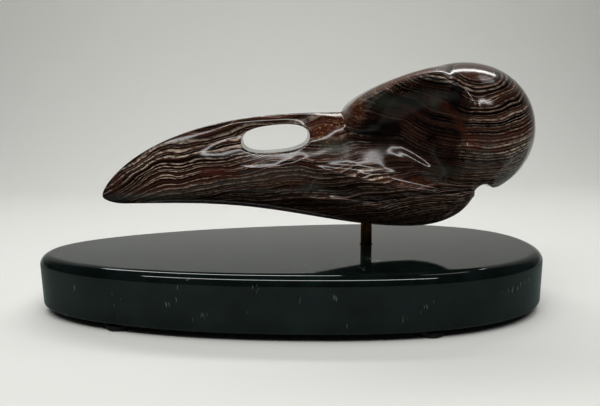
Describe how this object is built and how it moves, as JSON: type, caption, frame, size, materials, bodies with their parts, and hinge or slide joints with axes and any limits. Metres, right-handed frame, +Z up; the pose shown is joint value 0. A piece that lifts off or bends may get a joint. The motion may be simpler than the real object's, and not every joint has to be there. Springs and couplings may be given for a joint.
{
  "type": "raven skull carving on stand",
  "caption": "Raven skull carved in polished banded stone, with hollow eye sockets and an open nostril, on a brass pin over an oval stone base with bumper feet.",
  "frame": {"origin": "on the table, below the middle of the base", "axes": "+X along the base from the bill towards the back of the skull, +Z up"},
  "size_m": [0.14, 0.0596, 0.0666],
  "materials": {
    "banded_stone": "polished",
    "brass_rod": "drawn and tarnished",
    "green_stone": "polished",
    "bumper": "moulded"
  },
  "bodies": {
    "root": {"raven_skull": "banded_stone", "pin": "brass_rod", "base": "green_stone", "foot_front_left": "bumper", "foot_back_left": "bumper", "foot_front_right": "bumper", "foot_back_right": "bumper"}
  },
  "joints": []
}
